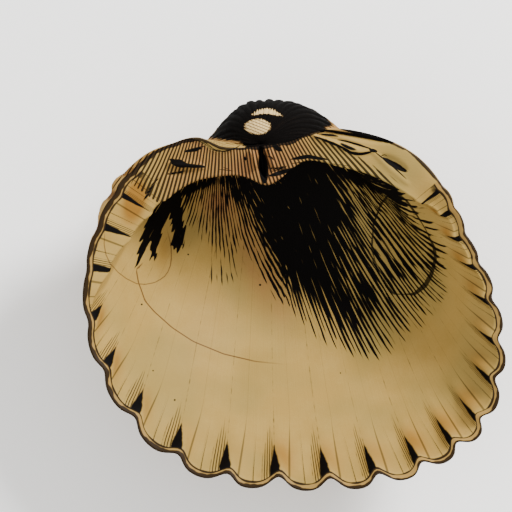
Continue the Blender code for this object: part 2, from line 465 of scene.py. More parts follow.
# %% Carving helpers
X, Y, Z = points[:, 0], points[:, 1], points[:, 2]
count = len(points)
kind = np.concatenate([np.repeat(row_kind, COLUMNS), ["outer", "inner"]])
is_outer, is_rim, is_inner = kind == "outer", kind == "rim", kind == "inner"
turn_at = with_poles(turn_net, BEAK_TURN, CAVITY_TURN)
angle_at = every_row(angles)
across_at = every_row(across_rib)
share_at = every_row(rib_share)


def tell_range(label, values):
    """Print the least and the greatest of some numbers."""
    print(label, "from", round(float(values.min()), 2), "to", round(float(values.max()), 2))


def line_distance(line, x, y):
    """Distance of points to a bent line, and how far along it they are, 0 to 1."""
    line = np.array(line, dtype=float)
    lengths = np.hypot(*(line[1:] - line[:-1]).T)
    reached = np.concatenate([[0.0], np.cumsum(lengths)]) / lengths.sum()
    best = np.full(x.shape, 1e9)
    along = np.zeros(x.shape)
    for index in range(len(lengths)):
        (ax, ay), (bx, by) = line[index], line[index + 1]
        t = ((x - ax) * (bx - ax) + (y - ay) * (by - ay)) / lengths[index] ** 2
        t = np.clip(t, 0.0, 1.0)
        away = np.hypot(x - ax - t * (bx - ax), y - ay - t * (by - ay))
        closer = away < best
        best[closer] = away[closer]
        along[closer] = (reached[index] + t * (reached[index + 1] - reached[index]))[closer]
    return best, along


def stroke(line, width, x, y, taper=0.5):
    """A soft stroke along a bent line: 1 on it, thinner towards both ends."""
    away, along = line_distance(line, x, y)
    ends = np.clip(np.sin(np.pi * np.clip(along, 0.02, 0.98)), 0.0, 1.0) ** taper
    return np.exp(-(away / (width * np.maximum(ends, 0.05))) ** 2) * np.minimum(ends * 3.0, 1.0)


def inside_outline(outline, x, y):
    """Signed distance to a closed outline: positive inside it."""
    closed = list(outline) + [outline[0]]
    away, _ = line_distance(closed, x, y)
    within = np.zeros(x.shape, dtype=bool)
    for (ax, ay), (bx, by) in zip(closed[:-1], closed[1:]):
        crosses = (ay > y) != (by > y)
        with np.errstate(divide="ignore", invalid="ignore"):
            at = ax + (y - ay) * (bx - ax) / (by - ay)
        within ^= crosses & (x < at)
    return np.where(within, away, -away)


def lattice_noise(u, v, seed_number):
    """Smooth noise from -1 to 1, with one swell for each unit of u and v."""
    grid = np.random.default_rng(seed_number).uniform(-1.0, 1.0, (256, 256))
    u0, v0 = np.floor(u).astype(int), np.floor(v).astype(int)
    fu, fv = smooth_step(u - u0), smooth_step(v - v0)
    corner = [[grid[(u0 + i) % 256, (v0 + j) % 256] for j in (0, 1)] for i in (0, 1)]
    low = corner[0][0] * (1 - fu) + corner[1][0] * fu
    high = corner[0][1] * (1 - fu) + corner[1][1] * fu
    return low * (1 - fv) + high * fv


print(int(is_outer.sum()), "points outside,", int(is_inner.sum()), "inside")

# %% [markdown]
# The hinge comes first. In the middle sit two small cardinal teeth with a deep
# socket between them, and a longer lateral tooth lies to each side. In front of
# the beak the edge of the plate is rolled up into a pale lip, and behind it a
# long leaf-shaped bed carried the ligament that held the two valves together.
# Each ridge or groove is a bent line, its half width and its height or depth.

# %% Hinge teeth, lip and ligament bed
HINGE_RIDGES = (
    (((-9.8, 0.4), (-8.4, 0.6), (-7.0, 0.6), (-6.0, 0.1), (-4.9, -0.5), (-3.7, -0.7),
      (-2.7, -0.3)), 0.38, 0.45),
    (((-1.3, -0.9), (-0.7, -2.2), (-0.6, -3.0)), 0.32, 0.75),
    (((1.0, -0.7), (1.1, -2.0), (1.6, -3.1)), 0.36, 0.8),
    (((-10.9, -2.5), (-9.6, -2.6), (-8.2, -2.7), (-6.8, -2.8)), 0.5, 0.6),
    (((6.0, 1.0), (8.2, 0.2), (10.0, -0.5), (11.7, -1.0), (13.3, -0.9)), 0.45, 0.32),
    (((13.0, -0.8), (14.4, -2.1), (15.6, -3.3), (17.6, -5.0)), 0.35, 0.16),
)
HINGE_GROOVES = (
    (((0.0, -0.5), (0.1, -2.0), (0.2, -3.0), (0.4, -3.9)), 0.42, 1.0),
    (((-11.0, -3.7), (-9.8, -3.5), (-8.2, -3.2)), 0.25, 0.35),
    (((6.8, 1.5), (10.0, 1.0), (12.9, 0.4), (15.5, 0.0)), 0.28, 0.45),
    (((6.5, 1.1), (9.4, 0.3), (12.0, -0.4)), 0.2, 0.35),
    (((14.4, -1.5), (15.4, -2.0), (17.3, -3.2)), 0.42, 0.35),
    (((-13.8, -6.9), (-13.0, -5.2), (-12.1, -4.0)), 0.2, 0.2),
    (((1.6, -3.2), (2.6, -3.5), (3.6, -3.4)), 0.3, 0.35),
)
PLATE_FROM = 305.0
PLATE_TO = 66.0
plate_zone = is_rim & ((angle_at > PLATE_FROM) | (angle_at < PLATE_TO))
rim_row = (np.arange(ROWS) - OUTER_ROWS) / RIM_ROWS
rim_part = with_poles(np.repeat(rim_row, COLUMNS), 0.0, 0.0)
calm = smooth_step(rim_part / 0.08) * smooth_step((1.0 - rim_part) / 0.12)
height = np.zeros(count)
for line, width, lift in HINGE_RIDGES:
    height += lift * stroke(line, width, X, Y)
for line, width, sink in HINGE_GROOVES:
    height -= sink * stroke(line, width, X, Y)
plate_lift = np.where(plate_zone, height * calm, 0.0)
tell_range("hinge forms", plate_lift)

# %% [markdown]
# Inside, the shell keeps the marks of the soft animal: two scars where the
# closing muscles held on, and the pallial line, along which the mantle was
# fixed. Near the edge each outer groove shows as a low ridge between two flutes.

# %% Scars, pallial line and flutes
HIND_SCAR = (
    (15.7, -5.6), (17.3, -6.8), (18.6, -8.6), (19.6, -10.3), (20.5, -12.2), (20.8, -13.7),
    (20.5, -15.2), (19.8, -16.8), (18.4, -18.0), (16.0, -18.0), (14.2, -15.5), (13.4, -12.4),
    (13.6, -9.6), (14.4, -7.2),
)
FRONT_SCAR = (
    (-17.7, -9.1), (-18.5, -10.3), (-18.6, -12.0), (-18.4, -13.2), (-17.9, -14.3), (-17.1, -15.3),
    (-16.1, -16.1), (-14.9, -16.7), (-13.9, -16.8), (-12.8, -16.6), (-11.7, -16.0), (-11.0, -15.0),
    (-10.8, -13.9), (-10.8, -12.2), (-11.4, -9.7), (-12.2, -8.2), (-13.4, -7.4), (-15.6, -8.0),
)
PALLIAL_LINE = (
    (-14.9, -15.0), (-14.6, -16.7), (-13.9, -18.8), (-12.8, -20.1), (-10.7, -22.0), (-8.1, -23.7),
    (-4.5, -25.2), (-0.7, -26.1), (3.5, -26.5), (8.1, -26.2), (11.6, -25.4), (15.0, -23.9),
    (17.8, -21.6), (19.4, -19.3), (19.8, -17.5),
)
HIND_SCAR_DEPTH = 0.16
FRONT_SCAR_DEPTH = 0.08
PALLIAL_DEPTH = 0.05
RIBS_FROM = 50.0
RIBS_TO = 310.0
RIDGE_HEIGHT = 0.16
RIDGE_REACH = 0.24
INSIDE_WAVES = 0.03
hind_scar = inside_outline(HIND_SCAR, X, Y)
front_scar = inside_outline(FRONT_SCAR, X, Y)
pallial_away, pallial_along = line_distance(PALLIAL_LINE, X, Y)
inner_lift = -HIND_SCAR_DEPTH * smooth_step(hind_scar / 0.7 + 0.5)
inner_lift -= FRONT_SCAR_DEPTH * smooth_step(front_scar / 0.9 + 0.5)
inner_lift -= PALLIAL_DEPTH * np.exp(-(pallial_away / 0.35) ** 2)
notch_side = np.minimum(across_at, 1.0 - across_at)
flute_fade = smooth_step(1.0 - turn_at / RIDGE_REACH)
rib_zone = (angle_at > RIBS_FROM) & (angle_at < RIBS_TO)
ridge = np.exp(-(notch_side / 0.17) ** 2) * flute_fade * smooth_step(turn_at / 0.01)
inner_lift += np.where(rib_zone, RIDGE_HEIGHT * ridge, 0.0)
inner_lift += INSIDE_WAVES * lattice_noise(X * 0.35 + 40.0, Y * 0.35 + 40.0, 5)
inner_lift = np.where(is_inner, inner_lift, 0.0)
tell_range("inner forms", inner_lift)

# %% [markdown]
# The outside is rough. Growth stopped each winter and left a step that runs
# across all the ribs, and finer growth lines fill the years between. The backs
# of the ribs carry low blunt scales, and the grooves between them are clean. A
# ring is a turn of growth and how far the surface sinks there.

# %% Growth rings and scales on the outside
RINGS = (
    (0.05, 0.10), (0.13, 0.16), (0.27, 0.12), (0.46, 0.18), (0.70, 0.12), (1.02, 0.15),
    (1.5, 0.1),
)
SCALE_ROWS = 3.0
SCALE_HEIGHT = 0.2
GROOVE_DEPTH = 0.08
OUTSIDE_WAVES = 0.06
WANDER = 0.02
wander = WANDER * lattice_noise(angle_at * 0.11 + 3.0, turn_at * 4.0 + 9.0, 11)
grown_turn = turn_at + wander
outer_lift = np.zeros(count)
stop_lines = np.zeros(count)
for at, sink in RINGS:
    past = (grown_turn - at) / (0.03 + 0.02 * at)
    step = np.exp(-np.where(past > 0.0, past * 0.6, past * 2.2) ** 2)
    outer_lift -= sink * step
    stop_lines = np.maximum(stop_lines, step ** 2)
row_at = OUTER_ROWS * np.clip(turn_at / BEAK_TURN, 0.0, 1.0) ** (1.0 / OUTER_EASE)
scale_wave = 0.5 + 0.5 * np.cos(2.0 * np.pi * (row_at / SCALE_ROWS + 0.15 * across_at))
scale_pick = 0.5 + 0.5 * lattice_noise(angle_at * 0.21, row_at * 0.31, 23)
rib_back = smooth_step((share_at - 0.55) / 0.4)
scales = scale_wave ** 2 * rib_back * scale_pick * np.exp(-turn_at * 0.5)
outer_lift += SCALE_HEIGHT * scales
outer_lift -= GROOVE_DEPTH * (1.0 - rib_back) * np.exp(-turn_at)
outer_lift += OUTSIDE_WAVES * lattice_noise(angle_at * 0.09, turn_at * 7.0, 31)
beak_fade = 1.0 - smooth_step((turn_at - 2.2) / 1.2)
edge_fade = smooth_step(turn_at / 0.03)
outer_lift = np.where(is_outer, outer_lift * beak_fade * edge_fade, 0.0)
tell_range("outer forms", outer_lift)

# %% [markdown]
# Every lift moves its point along the surface normal, so a ridge stands square
# on the skin wherever the skin leans. The hinge forms rise straight out of the
# plane of the edge.

# %% Carve the skin
def write_points(mesh, new_points):
    """Put points, given in millimetres, back into a mesh."""
    mesh.vertices.foreach_set("co", (new_points * MM).ravel())
    mesh.update()


def point_normals(mesh):
    """Outward direction at every point."""
    flat = np.empty(len(mesh.vertices) * 3)
    mesh.vertex_normals.foreach_get("vector", flat)
    return flat.reshape(-1, 3)


write_points(valve_mesh, points)
normals = point_normals(valve_mesh)
if normals[is_inner, 2].mean() < 0.0:
    valve_mesh.flip_normals()
    valve_mesh.update()
    normals = point_normals(valve_mesh)
carved = points + normals * (inner_lift + outer_lift)[:, None]
carved[:, 2] += plate_lift
write_points(valve_mesh, carved)
print("mean inner normal", np.round(normals[is_inner].mean(axis=0), 2))

# %% [markdown]
# A valve that is put down rolls until it rests on the backs of its ribs. The
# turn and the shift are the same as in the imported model, so the fine valve lies
# exactly where the plain one lies. Nothing may go below the table.

# %% Lay the valve down
REST_PITCH = 4.7
REST_ROLL = -2.0
BEAK_PLACE = (-3.992, 17.675, 17.859)
roll = Matrix.Rotation(math.radians(REST_ROLL), 4, "Y")
lay = roll @ Matrix.Rotation(math.radians(REST_PITCH), 4, "X")
to_rest = Matrix.Translation(Vector(BEAK_PLACE) * MM) @ lay
turned = np.array(to_rest.to_3x3())
rested = carved @ turned.T + np.array(BEAK_PLACE)
rested[:, 2] = np.maximum(rested[:, 2], 0.0)
write_points(valve_mesh, rested)
low, high = rested.min(axis=0), rested.max(axis=0)
print("valve box in mm:", np.round(low, 2), np.round(high, 2))

# %% [markdown]
# The finished skin becomes an object of its own. It rides on the body that the
# imported model calls root and stands for the plain valve. The UV map lays the
# skin out flat, with the angle across and the growth upward.

# %% The valve as an object
uv_layer = valve_mesh.uv_layers.new(name="growth")
corner_points = np.empty(len(valve_mesh.loops), dtype=int)
valve_mesh.loops.foreach_get("vertex_index", corner_points)
corner_rows, corner_columns = np.divmod(corner_points, COLUMNS)
u = corner_columns / COLUMNS
face_starts = np.empty(len(valve_mesh.polygons), dtype=int)
valve_mesh.polygons.foreach_get("loop_start", face_starts)
face_sizes = np.empty(len(valve_mesh.polygons), dtype=int)
valve_mesh.polygons.foreach_get("loop_total", face_sizes)
face_of_corner = np.repeat(np.arange(len(face_sizes)), face_sizes)
widest = np.maximum.reduceat(u, face_starts)[face_of_corner]
u = np.where((widest > 0.75) & (u < 0.25), u + 1.0, u)
v = np.minimum(corner_rows, ROWS - 1) / (ROWS - 1)
uv_layer.data.foreach_set("uv", np.column_stack([u, v]).ravel())
valve_mesh.polygons.foreach_set("use_smooth", [True] * len(valve_mesh.polygons))
for name in ("angle", "radius", "turn", "relief", "swelling"):
    valve_mesh.attributes.remove(valve_mesh.attributes[name])
valve = bpy.data.objects.new("valve", valve_mesh)
bpy.context.scene.collection.objects.link(valve)
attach(valve, "root")
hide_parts("shell_valve")
print("triangles:", int((face_sizes - 2).sum()))

# %% [markdown]
# The colours follow the forms, so the masks for them are worked out on the
# points of the mesh and kept as attributes: where the painted shade of the hollow
# lies and how dense it is, which is the hinge plate's shadow painted as a dark
# stain, where that shade takes a pink tint, and where ochre shows. The shader
# breaks their soft borders up into fine streaks, and what has a density over 1
# stays solid.

# %% The painted shade in the hollow
DEEP_SHADE = (
    (-5.0, -3.4), (-4.2, -5.8), (-2.3, -7.6), (-0.9, -10.0), (0.8, -12.9), (2.8, -16.5),
    (5.0, -18.4), (7.4, -20.9), (10.2, -22.9), (12.4, -23.6), (14.2, -22.6), (15.0, -20.6),
    (14.8, -17.4), (13.6, -14.4), (12.7, -11.0), (12.0, -8.0), (11.2, -5.4), (10.4, -3.0),
    (5.7, -1.6), (3.4, -3.2), (0.4, -4.6),
)
HALF_SHADE = (
    (9.0, -2.6), (14.2, -4.0), (15.9, -5.0), (17.6, -6.5), (19.2, -8.8), (20.9, -11.4),
    (21.6, -14.1), (21.4, -17.6), (19.8, -20.4), (17.5, -22.6), (14.4, -25.0), (11.5, -24.4),
    (9.5, -14.0),
)
HOLLOW = (
    (-15.0, -16.6), (-14.8, -14.9), (-14.5, -12.2), (-13.5, -9.1), (-11.5, -6.9), (-9.7, -5.5),
    (-7.7, -4.6), (-5.5, -4.0), (-2.5, -3.9), (-0.9, -4.5), (0.4, -5.0), (2.1, -4.3),
    (3.4, -3.6), (4.4, -2.7), (5.7, -2.1), (7.3, -2.5), (9.3, -2.8), (12.3, -3.6),
    (14.2, -4.3), (15.7, -5.1), (18.0, -8.0), (20.0, -14.0), (12.0, -28.0), (-8.0, -26.0),
)
FRONT_BAND = (
    (-11.2, -5.8), (-12.4, -6.9), (-13.5, -8.8), (-14.0, -10.3), (-14.45, -11.7),
    (-14.75, -13.4), (-14.95, -15.0), (-14.6, -14.8), (-14.1, -13.4), (-13.7, -12.2),
    (-13.1, -11.3), (-12.3, -10.4), (-11.6, -9.4), (-10.9, -8.2), (-10.2, -6.6),
)
FINGERS = (
    (((-10.3, -6.6), (-10.2, -8.6), (-9.9, -10.3), (-10.1, -12.1)), 0.5),
    (((-12.8, -10.6), (-12.9, -13.2)), 0.16),
    (((-12.2, -10.0), (-12.3, -11.5)), 0.12),
)


def soft(distance, feather):
    """Signed distance to an outline as a soft mask."""
    return smooth_step(distance / feather + 0.5)


HALF_DENSITY = 0.61
# The deep and the half shade are painted shadow of the hollow, and the key lamp casts real shadow
# there as well.
deep_shade_in = inside_outline(DEEP_SHADE, X, Y)
deep_shade = 1.2 * soft(deep_shade_in, 3.4 + 2.6 * smooth_step((X - 6.0) / 4.0))
deep_shade *= 1.0 - 0.17 * smooth_step((X - 6.5) / 4.0) * smooth_step((-6.0 - Y) / 5.0)
deep_shade = np.maximum(deep_shade, 0.52 * soft(deep_shade_in + 1.7, 2.6))
half_shade_in = inside_outline(HALF_SHADE, X, Y)
half = HALF_DENSITY * soft(half_shade_in, 3.4)
# The band along the plate's lower edge, its fringe, the front band and the fingers are painted
# shade as well.
hollow_in = inside_outline(HOLLOW, X, Y)
near_hinge = smooth_step((Y + 18.0) / 3.0) * smooth_step((19.0 - X) / 3.0)
near_hinge *= smooth_step((X + 11.8) / 1.2)
band_width = 0.9 + 0.5 * smooth_step((X + 4.0) / 4.0)
band = 1.2 * (1.0 - smooth_step((hollow_in - 0.6 * band_width) / band_width))
fringe_reach = 2.0 + 12.0 * np.exp(-((X + 3.4) / 4.6) ** 2)
fringe = 0.72 * (1.0 - smooth_step(hollow_in / fringe_reach))
shade = np.maximum(band, fringe) * near_hinge * smooth_step((hollow_in + 0.9) / 0.9)
shade = np.maximum(shade, 1.25 * soft(inside_outline(FRONT_BAND, X, Y), 0.6))
for line, width in FINGERS:
    away, along = line_distance(line, X, Y)
    shade = np.maximum(shade, 1.3 * (1.0 - smooth_step((away - width) / 0.4)))
hollow_shade = np.maximum.reduce([deep_shade, half, shade])
# Painted shade under the hinge plate, deep in the hollow.
under_plate_shade = smooth_step((turn_at - 1.15) / 0.25)
hollow_shade = np.where(is_inner, np.maximum(hollow_shade, under_plate_shade * 1.2), 0.0)
print("stained share of the inside:", round(float((hollow_shade[is_inner] > 0.5).mean()), 2))

# %% [markdown]
# Dark lines need sharp borders, and the points of a mesh are too far apart to
# hold them. So the masks keep a distance instead, positive inside a mark and
# negative outside it, and the shader cuts it off at zero. Each mark is a bent
# line, its half width and how fast it tapers.

# %% The marks of the hinge
# These black marks are painted shadow in the sockets, beside the teeth and along the lower edge of
# the plate.
HINGE_MARKS = (
    (((-0.1, 0.8), (0.0, -1.0), (0.2, -3.0)), 0.34, 0.3),
    (((0.1, -1.4), (0.3, -2.8), (0.4, -4.5)), 0.6, 0.35),
    (((-10.5, -2.3), (-9.7, -2.4), (-8.8, -2.7)), 0.52, 0.6),
    (((-9.9, -2.6), (-8.4, -2.7), (-6.6, -2.8)), 0.26, 0.5),
    (((-11.1, -1.9), (-10.2, -2.0), (-9.5, -2.2)), 0.14, 0.6),
    (((-7.6, 0.4), (-6.5, 0.0), (-5.6, -0.75), (-4.4, -1.05), (-3.2, -0.75), (-2.5, -0.2)),
     0.09, 0.3),
    (((-11.2, -3.7), (-9.8, -3.5), (-8.4, -3.2)), 0.16, 0.6),
    (((-9.1, -1.0), (-7.8, -0.8), (-6.7, -0.4)), 0.26, 0.6),
    (((-14.0, -7.1), (-13.0, -5.2), (-12.1, -4.0)), 0.2, 0.6),
    (((1.5, -0.2), (1.9, -0.6), (2.5, -0.9)), 0.34, 0.6),
    (((0.5, -1.5), (1.2, -1.7), (1.8, -2.2)), 0.12, 0.6),
    (((-1.9, -1.6), (-1.9, -2.1)), 0.24, 0.6),
    (((1.0, -3.9), (2.4, -3.5), (4.0, -3.0)), 0.3, 0.6),
    (((0.9, -3.0), (2.0, -3.0), (3.4, -2.7)), 0.14, 0.6),
    (((3.6, -1.9), (5.6, -1.6), (8.0, -2.0)), 0.26, 0.6),
    (((9.4, -0.05), (10.3, -0.5), (11.4, -0.9)), 0.23, 0.6),
    (((14.5, -1.8), (15.5, -2.4), (16.5, -2.95), (17.3, -3.4)), 0.38, 0.6),
)
PALE_LIP = (
    (-9.6, 0.7), (-7.7, 1.1), (-6.2, 0.95), (-4.4, 0.6), (-2.4, 0.2), (-2.1, -0.2), (-3.1, -0.65),
    (-4.2, -1.0), (-5.2, -1.0), (-6.1, -0.7), (-7.0, 0.05), (-8.0, 0.45),
)
LIGAMENT_BED = (
    (5.9, 0.85), (6.7, 0.72), (8.2, 0.25), (9.6, -0.5), (10.5, -1.1), (12.3, -2.1), (14.7, -3.7),
    (16.5, -4.6), (18.2, -5.6), (19.5, -2.0), (16.5, 1.5), (6.0, 3.0),
)
HATCH_DENSITY = 0.58
mark_depth = np.full(count, -1.0)
for line, width, taper in HINGE_MARKS:
    away, along = line_distance(line, X, Y)
    thick = width * np.sin(np.pi * np.clip(0.08 + 0.86 * along, 0.0, 1.0)) ** taper
    mark_depth = np.maximum(mark_depth, thick - away)
on_top = is_rim | (is_outer & (Z > -2.5) & (turn_at < 1.0))
mark_depth = np.where(on_top, mark_depth, -1.0)
pale_lip = soft(inside_outline(PALE_LIP, X, Y), 0.35) * on_top
plate_share = np.where(plate_zone, 1.0, 0.0)
# The hatching is painted shade: fine dark lines across the hinge plate, and on the outside over
# the front bulge.
hatch_shade = smooth_step((17.0 - X) / 3.0) * smooth_step((X + 16.5) / 3.0)
bed = soft(inside_outline(LIGAMENT_BED, X, Y), 0.3)
hatch_shade = HATCH_DENSITY * plate_share * (1.0 - pale_lip) * (1.0 - bed) * hatch_shade
# The front bulge of the outside, seen beyond the edge, gets painted shade: hatching and an ochre
# tint.
front_bulge_shade = near_angle(angle_at, 316.0, 15.0) * (1.0 - smooth_step(turn_at / 1.1))
front_bulge_shade *= smooth_step((normals[:, 2] - 0.3) / 0.3)
hatch_shade = np.where(is_outer, 0.5 * front_bulge_shade, np.where(is_rim, hatch_shade, 0.0))
print("points inside the hinge marks:", int((mark_depth > 0.0).sum()))

# %% [markdown]
# The beak is the oldest part of the shell. It is black with a jagged border,
# partly its dark colour and partly painted shade, and two pale patches on its crest
# are painted highlights that also read as worn spots. Its border follows an
# outline in the plane of the edge, and on the back it runs out along the ribs
# into an orange brown.

# %% The beak
UMBO = (
    (-6.7, 0.75), (-6.0, 2.2), (-4.6, 4.4), (-2.9, 5.7), (-1.3, 6.6), (0.9, 7.3), (3.6, 7.0),
    (5.9, 6.2), (8.3, 5.2), (10.6, 3.2), (8.0, 1.9), (6.9, 1.2), (5.8, -0.2), (2.3, -0.8),
    (0.1, -1.2), (-1.8, -0.7), (-2.5, 0.1), (-4.2, 0.4),
)
top_side = smooth_step((Z + 9.5) / 4.0)
umbo = soft(inside_outline(UMBO, X, Y), 0.7) * top_side
beak_tint = smooth_step((turn_at - 0.75) / 0.9)
# The two pale patches are painted highlights on the crest of the beak, shown as worn spots.
worn_highlight = 1.0 - ((X + 0.4) / 1.6) ** 2 - ((Y - 1.95) / 0.95) ** 2
crescent_y = 3.85 - 0.16 * (X - 0.6) ** 2
crescent = 1.0 - ((X - 0.7) / 1.9) ** 2 - ((Y - crescent_y) / 0.4) ** 2
worn_highlight = np.where(is_outer & (Z > -4.0), np.maximum(worn_highlight, crescent), -1.0)
worn_highlight = np.maximum(worn_highlight, -1.0)
# The beak's black is partly its dark colour and partly painted shade.
beak_ink = np.where(is_outer, np.maximum(1.05 * umbo, 0.3 * beak_tint * (1.0 - top_side)), 0.0)
print("worn points on the beak:", int((worn_highlight > 0.0).sum()))

# %% [markdown]
# Warm colours come next: ochre in the flutes and at the front, and two tints of
# the painted shade, a pink blush along the shade of the hollow and on the hinge
# plate, and olive under the half shade. They need two more measures, which the
# shader uses too: how far a point lies in from the edge, in millimetres, and how
# far beside the nearest notch, in ribs.

# %% Ochre, the tints of the painted shade, and the edge
EDGE_MM_PER_TURN = 38.0
edge_turn = turn_at * EDGE_MM_PER_TURN
rim_width_at = every_row(rim_width, 1.0, 1.0)
edge_far = np.where(is_rim, rim_width_at * rim_part ** RIM_EASE, 0.0)
edge_far = np.where(is_outer, -edge_turn, np.where(is_inner, rim_width_at + edge_turn, edge_far))
rim_end = np.clip(edge_far - rim_width_at, -2.0, 9.0)
beside_notch = np.where(across_at < 0.5, across_at, across_at - 1.0)
beside_notch = np.where(rib_zone, beside_notch, 0.5)
ochre_spots = np.exp(-((beside_notch + 0.08) / 0.24) ** 2 - ((rim_end - 2.3) / 1.9) ** 2)
ochre_pick = 0.6 + 0.4 * lattice_noise(angle_at * 0.05 + 7.0, 0.0 * X, 3)
ochre = np.where(is_inner & rib_zone, 1.3 * ochre_spots * ochre_pick, 0.0)
front_patch = np.exp(-(((X + 14.9 - 0.2 * (Y + 6.5)) / 1.4) ** 2 + ((Y + 6.8) / 2.7) ** 2) ** 2)
front_glow = 0.5 * np.exp(-(((X + 11.6) / 0.8) ** 2 + ((Y + 12.6) / 2.2) ** 2))
ochre = np.maximum(ochre, np.where(~is_outer, np.maximum(1.5 * front_patch, front_glow), 0.0))
# On the outside the ochre is the tint of the painted shade on the front bulge.
ochre = np.where(is_outer, front_bulge_shade, ochre)
# The pink blush tints the painted shade along the deep shade and on the hinge plate.
shade_blush = np.exp(-((deep_shade_in + 1.2) / 2.6) ** 2) * smooth_step((6.0 - X) / 6.0)
shade_blush = np.where(is_inner, shade_blush, 0.0)
plate_shade_blush = smooth_step((8.5 - X) / 6.0) * smooth_step((X + 14.0) / 6.0) * (1.0 - pale_lip)
shade_blush = np.where(plate_zone, plate_shade_blush, shade_blush)
# Olive tints the painted half shade and a wide border around it.
olive = np.where(is_outer, 0.0, soft(half_shade_in, 5.0))
print("ochre on", int((ochre > 0.5).sum()), "points")

# %% [markdown]
# The scars and the mantle's line show as thin lines, so their signed distances
# go to the shader as well. Then every mask is written to the mesh, with one
# vector for the ring of growth: the sine and cosine of the angle, and the turn.

# %% Lines left by the animal
PALLIAL_FIELD = PALLIAL_LINE + ((12.0, -8.0), (-8.0, -8.0))
pallial = np.clip(inside_outline(PALLIAL_FIELD, X, Y), -3.0, 3.0)
pallial_fade = smooth_step((0.55 - pallial_along) / 0.15)
PAINT = {
    "hollow_shade": hollow_shade,
    "mark_depth": mark_depth,
    "hatch_shade": hatch_shade,
    "beak_ink": beak_ink,
    "worn_highlight": worn_highlight,
    "ochre": ochre,
    "shade_blush": shade_blush,
    "olive": olive,
    "beside_notch": beside_notch,
    "edge_far": np.clip(edge_far, -3.0, 9.0),
    "pallial": np.where(is_inner, pallial, 3.0),
    "pallial_fade": pallial_fade * smooth_step((1.2 - pallial_away) / 0.4),
    "hind_scar": np.where(is_inner, np.clip(hind_scar, -3.0, 3.0), -3.0),
    "front_scar": np.where(is_outer, -3.0, np.clip(front_scar, -3.0, 3.0)),
    "outside": is_outer * 1.0,
    "on_top": on_top * 1.0,
    "pale_lip": pale_lip,
    "wall": np.where(rib_zone, 1.0, 0.0),
    "rib_back": share_at,
    "beak_tint": np.where(is_outer, beak_tint, 0.0),
    "scales": np.where(is_outer, scales, 0.0),
    "stop_lines": np.where(is_outer, stop_lines, 0.0),
    "front_side": smooth_step((6.0 - X) / 14.0),
}
for name, values in PAINT.items():
    write_attribute(valve_mesh, name, values)
ring = valve_mesh.attributes.new("ring", "FLOAT_VECTOR", "POINT")
radians_at = np.radians(angle_at)
ring_values = np.column_stack([np.sin(radians_at), np.cos(radians_at), turn_at])
ring.data.foreach_set("vector", ring_values.astype(np.float32).ravel())
print("painted:", ", ".join(PAINT))

# %% [markdown]
# The shader reads those masks. Where the painted shade is halfway, fine lines
# decide point by point, so it runs out in streaks that fan out from the beak and
# follow the growth of the shell. A few helpers keep the node work readable: a
# number flows through this tree as it did through the growth tree.

# %% Shader helpers
def read_attribute(tree, name, output="Fac"):
    """An attribute of the mesh, as an output in the shader."""
    node = tree.nodes.new("ShaderNodeAttribute")
    node.attribute_name = name
    return node.outputs[output]


def combine(tree, *parts):
    """Three numbers as one vector."""
    node = tree.nodes.new("ShaderNodeCombineXYZ")
    for slot, part in zip(node.inputs, parts):
        if isinstance(part, Flow):
            tree.links.new(part.socket, slot)
        else:
            slot.default_value = part
    return node.outputs[0]


def split(tree, vector):
    """The three numbers of a vector."""
    node = tree.nodes.new("ShaderNodeSeparateXYZ")
    tree.links.new(vector, node.inputs[0])
    return [Flow(tree, output) for output in node.outputs]


def noise(tree, vector, scale=1.0, detail=2.0, roughness=0.5):
    """Noise from 0 to 1 on a vector."""
    node = tree.nodes.new("ShaderNodeTexNoise")
    tree.links.new(vector, node.inputs["Vector"])
    node.inputs["Scale"].default_value = scale
    node.inputs["Detail"].default_value = detail
    node.inputs["Roughness"].default_value = roughness
    return Flow(tree, node.outputs[0])


def blend_colour(tree, share, first, second):
    """Mix two colours, each a fixed colour or the output of another mix."""
    node = tree.nodes.new("ShaderNodeMix")
    node.data_type = "RGBA"
    node.clamp_factor = True
    tree.links.new(share.socket, node.inputs["Factor"])
    for slot, colour in ((node.inputs[6], first), (node.inputs[7], second)):
        if isinstance(colour, tuple):
            slot.default_value = (*colour, 1.0)
        else:
            tree.links.new(colour, slot)
    return node.outputs[2]


def lay_tints(tree, colour, tints):
    """Lay (share, colour) tints over a first colour, one after the other."""
    for share, tint in tints:
        colour = blend_colour(tree, share, colour, tint)
    return colour


print("shader helpers are ready")

# %% [markdown]
# All the finishes ask the same questions: which masks hold here, where is this
# point in the plane of the edge, where on the ring of growth, and how does the
# surface vary. So one object answers them. The Mapping node undoes the lay of
# the valve, which gives x and y in millimetres from the beak.

